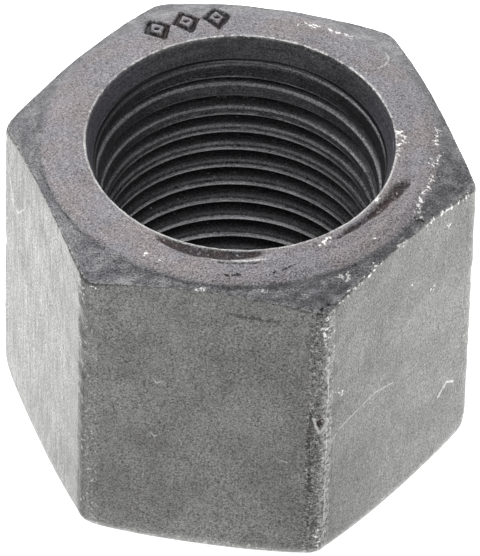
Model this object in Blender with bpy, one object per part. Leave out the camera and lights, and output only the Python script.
"""High hexagon nut, forged from one bar of steel and tapped right through.

The blank is a hexagonal bar with rounded edges. Both ends are turned: a flat face in the middle, then
cones that fall away to the six corners. The bore opens through a tapered mouth at the top and a short
countersink below, and a right-hand parallel thread is cut between them. The thread axis is Z, the nut
stands on its bearing face at Z = 0, and one pair of flats faces -Y and +Y.
"""
import math

import bmesh
import bpy

# Driving dimensions, metres
INCH = 0.0254
MILLIMETRE = 0.001
ACROSS_FLATS = 1.0625 * INCH
NUT_HEIGHT = 0.9375 * INCH
EDGE_RADIUS = 1.1 * MILLIMETRE

# Thread: sixteen turns to the inch with sixty-degree flanks
THREAD_MAJOR_RADIUS = 0.375 * INCH
THREAD_MINOR_RADIUS = 8.73 * MILLIMETRE
THREAD_PITCH = INCH / 16
THREAD_ROOT_WIDTH = THREAD_PITCH / 8
FLANK_SLOPE = math.tan(math.radians(30))

# Turned ends: where the flat face stops, where the crown stops, and how steeply each cone falls
TOP_FLAT_RADIUS = 11.3 * MILLIMETRE
TOP_CROWN_RADIUS = 12.9 * MILLIMETRE
TOP_CROWN_SLOPE = 0.30
TOP_CORNER_SLOPE = 0.42
BOTTOM_FLAT_RADIUS = 12.7 * MILLIMETRE
BOTTOM_CORNER_SLOPE = 0.26

# Blunted corners: each cone rolls over into the upright edges along a part of an ellipse
CORNER_RADIUS = ACROSS_FLATS / 2 / math.cos(math.pi / 6) - 0.15 * MILLIMETRE
TOP_ROLL_WIDTH = 0.45 * MILLIMETRE
TOP_ROLL_HEIGHT = 0.7 * MILLIMETRE
BOTTOM_ROLL_WIDTH = 0.6 * MILLIMETRE
BOTTOM_ROLL_HEIGHT = 1.7 * MILLIMETRE

# Mouths of the bore: a short cone and then a long slow one at the top, a plain countersink below
MOUTH_RADIUS = 10.1 * MILLIMETRE
NECK_RADIUS = 9.46 * MILLIMETRE
NECK_DEPTH = 1.6 * MILLIMETRE
NECK_TAPER = 0.17
COUNTERSINK_RADIUS = 9.9 * MILLIMETRE
COUNTERSINK_TAPER = 1.0

# Fineness of the faceted surfaces
EDGE_STEPS = 4
ROLL_STEPS = 4
END_STEPS = 96
BORE_STEPS = 48

# How far a cutting shape runs past the metal, and the bend above which an edge is drawn crisp
OVERRUN = 1.5 * MILLIMETRE
SMOOTH_BELOW = math.radians(20)


def object_from(name, shape):
    """Turn a finished bmesh into an object whose faces point outward."""
    bmesh.ops.recalc_face_normals(shape, faces=shape.faces)
    mesh = bpy.data.meshes.new(name)
    shape.to_mesh(mesh)
    shape.free()
    made = bpy.data.objects.new(name, mesh)
    bpy.context.scene.collection.objects.link(made)
    return made


def add_wall(shape, lower, upper):
    """Join two rings of points with a band of four-sided faces."""
    for index in range(len(lower)):
        shape.faces.new((lower[index - 1], lower[index], upper[index], upper[index - 1]))


def hexagonal_bar(name, bottom, top):
    """The bar the nut is cut from: six flats joined by rounded edges, with corners at +X and -X."""
    centre_distance = (ACROSS_FLATS / 2 - EDGE_RADIUS) / math.cos(math.pi / 6)
    outline = []
    for corner in range(6):
        corner_angle = corner * math.pi / 3
        for step in range(EDGE_STEPS + 1):
            arc_angle = corner_angle + (step / EDGE_STEPS - 0.5) * math.pi / 3
            x = centre_distance * math.cos(corner_angle) + EDGE_RADIUS * math.cos(arc_angle)
            y = centre_distance * math.sin(corner_angle) + EDGE_RADIUS * math.sin(arc_angle)
            outline.append((x, y))
    shape = bmesh.new()
    lower = [shape.verts.new((x, y, bottom)) for x, y in outline]
    upper = [shape.verts.new((x, y, top)) for x, y in outline]
    add_wall(shape, lower, upper)
    shape.faces.new(lower)
    shape.faces.new(upper)
    return object_from(name, shape)


def turned_solid(name, profile, steps):
    """A solid of revolution about Z, closed by a flat disc at each end of its profile."""
    shape = bmesh.new()
    rings = []
    for radius, height in profile:
        ring = []
        for step in range(steps):
            angle = 2 * math.pi * step / steps
            ring.append(shape.verts.new((radius * math.cos(angle), radius * math.sin(angle), height)))
        rings.append(ring)
    for lower, upper in zip(rings, rings[1:]):
        add_wall(shape, lower, upper)
    shape.faces.new(rings[0])
    shape.faces.new(rings[-1])
    return object_from(name, shape)


def roll(height, width, rise):
    """Profile points from the rim of a corner cone out to an upright line, along a quarter ellipse."""
    points = []
    for step in range(ROLL_STEPS + 1):
        turn = math.pi / 2 * step / ROLL_STEPS
        points.append((CORNER_RADIUS - width * (1 - math.sin(turn)), height + rise * (1 - math.cos(turn))))
    return points


def threaded_rod(name, bottom, turns):
    """What a right-hand tap removes: a rod whose ridge winds upward from the given height."""
    flank_height = (THREAD_MAJOR_RADIUS - THREAD_MINOR_RADIUS) * FLANK_SLOPE
    core_width = THREAD_PITCH - THREAD_ROOT_WIDTH - 2 * flank_height
    ridge = (
        (THREAD_MINOR_RADIUS, 0.0),
        (THREAD_MINOR_RADIUS, core_width),
        (THREAD_MAJOR_RADIUS, core_width + flank_height),
        (THREAD_MAJOR_RADIUS, core_width + flank_height + THREAD_ROOT_WIDTH),
    )
    shape = bmesh.new()
    columns = []
    for index in range(turns * BORE_STEPS + 1):
        angle = 2 * math.pi * index / BORE_STEPS
        lift = bottom + THREAD_PITCH * index / BORE_STEPS
        column = []
        for radius, height in ridge:
            column.append(shape.verts.new((radius * math.cos(angle), radius * math.sin(angle), lift + height)))
        columns.append(column)
    for index in range(len(columns) - 1):
        here, onward = columns[index], columns[index + 1]
        for low in range(len(ridge) - 1):
            shape.faces.new((here[low], onward[low], onward[low + 1], here[low + 1]))
        if index + 1 + BORE_STEPS < len(columns):
            here_above = columns[index + BORE_STEPS]
            onward_above = columns[index + 1 + BORE_STEPS]
            shape.faces.new((here[-1], onward[-1], onward_above[0], here_above[0]))
    # Each open end is drawn in to a point on the axis, clear of the nut
    middle = bottom + THREAD_PITCH * turns / 2
    end_heights = (bottom - OVERRUN, bottom + THREAD_PITCH * (turns + 1) + OVERRUN)
    open_edges = [edge for edge in shape.edges if edge.is_boundary]
    for end_height in end_heights:
        side = 1 if end_height > middle else -1
        loop = [edge for edge in open_edges if (edge.verts[0].co.z - middle) * side > 0]
        drawn = bmesh.ops.extrude_edge_only(shape, edges=loop)["geom"]
        tips = [piece for piece in drawn if isinstance(piece, bmesh.types.BMVert)]
        bmesh.ops.pointmerge(shape, verts=tips, merge_co=(0.0, 0.0, end_height))
    return object_from(name, shape)


def combine(target, tool, operation):
    """Cut the nut with a shape, or down to it, and take the shape away afterwards."""
    modifier = target.modifiers.new(tool.name, "BOOLEAN")
    modifier.operation = operation
    modifier.solver = "EXACT"
    modifier.object = tool
    with bpy.context.temp_override(object=target):
        bpy.ops.object.modifier_apply(modifier=modifier.name)
    bpy.data.objects.remove(tool)


def steel(name):
    """Heat-treated steel with its dark scale left on."""
    material = bpy.data.materials.new(name)
    material.use_nodes = True
    shader = material.node_tree.nodes["Principled BSDF"]
    shader.inputs["Base Color"].default_value = (0.185, 0.18, 0.19, 1.0)
    shader.inputs["Metallic"].default_value = 0.75
    shader.inputs["Roughness"].default_value = 0.5
    return material


for existing in list(bpy.data.objects):
    bpy.data.objects.remove(existing)

nut = hexagonal_bar("hex_nut", -OVERRUN, NUT_HEIGHT + OVERRUN)

# The turned outside: both end faces, the crown, the corner cones and the rolls at their rims
bottom_roll_height = (CORNER_RADIUS - BOTTOM_ROLL_WIDTH - BOTTOM_FLAT_RADIUS) * BOTTOM_CORNER_SLOPE
crown_height = NUT_HEIGHT - (TOP_CROWN_RADIUS - TOP_FLAT_RADIUS) * TOP_CROWN_SLOPE
top_roll_height = crown_height - (CORNER_RADIUS - TOP_ROLL_WIDTH - TOP_CROWN_RADIUS) * TOP_CORNER_SLOPE
outside = turned_solid(
    "turned_outside",
    [(BOTTOM_FLAT_RADIUS, 0.0)]
    + roll(bottom_roll_height, BOTTOM_ROLL_WIDTH, BOTTOM_ROLL_HEIGHT)
    + roll(top_roll_height, TOP_ROLL_WIDTH, -TOP_ROLL_HEIGHT)[::-1]
    + [(TOP_CROWN_RADIUS, crown_height), (TOP_FLAT_RADIUS, NUT_HEIGHT)],
    END_STEPS,
)
combine(nut, outside, "INTERSECT")

# The thread runs out past both faces
rod_bottom = -2 * THREAD_PITCH
rod_turns = math.ceil(NUT_HEIGHT / THREAD_PITCH) + 4
combine(nut, threaded_rod("tap", rod_bottom, rod_turns), "DIFFERENCE")

# The top mouth: its steep cone is carried on above the face, its slow cone on below the minor radius
neck_height = NUT_HEIGHT - NECK_DEPTH
mouth_widening = (MOUTH_RADIUS - NECK_RADIUS) / NECK_DEPTH * OVERRUN
mouth_tip_radius = THREAD_MINOR_RADIUS - OVERRUN / 2
top_mouth = turned_solid(
    "top_mouth",
    (
        (mouth_tip_radius, neck_height - (NECK_RADIUS - mouth_tip_radius) / NECK_TAPER),
        (NECK_RADIUS, neck_height),
        (MOUTH_RADIUS + mouth_widening, NUT_HEIGHT + OVERRUN),
    ),
    BORE_STEPS,
)
combine(nut, top_mouth, "DIFFERENCE")

# The countersink at the bearing face
countersink_depth = (COUNTERSINK_RADIUS - mouth_tip_radius) / COUNTERSINK_TAPER
bottom_mouth = turned_solid(
    "bottom_mouth",
    (
        (COUNTERSINK_RADIUS + OVERRUN * COUNTERSINK_TAPER, -OVERRUN),
        (mouth_tip_radius, countersink_depth),
    ),
    BORE_STEPS,
)
combine(nut, bottom_mouth, "DIFFERENCE")

# Turned and rounded surfaces shade smoothly, and every true edge stays crisp
nut.data.materials.clear()
nut.data.materials.append(steel("dark_steel"))
nut.data.shade_smooth()
nut.data.set_sharp_from_angle(angle=SMOOTH_BELOW)
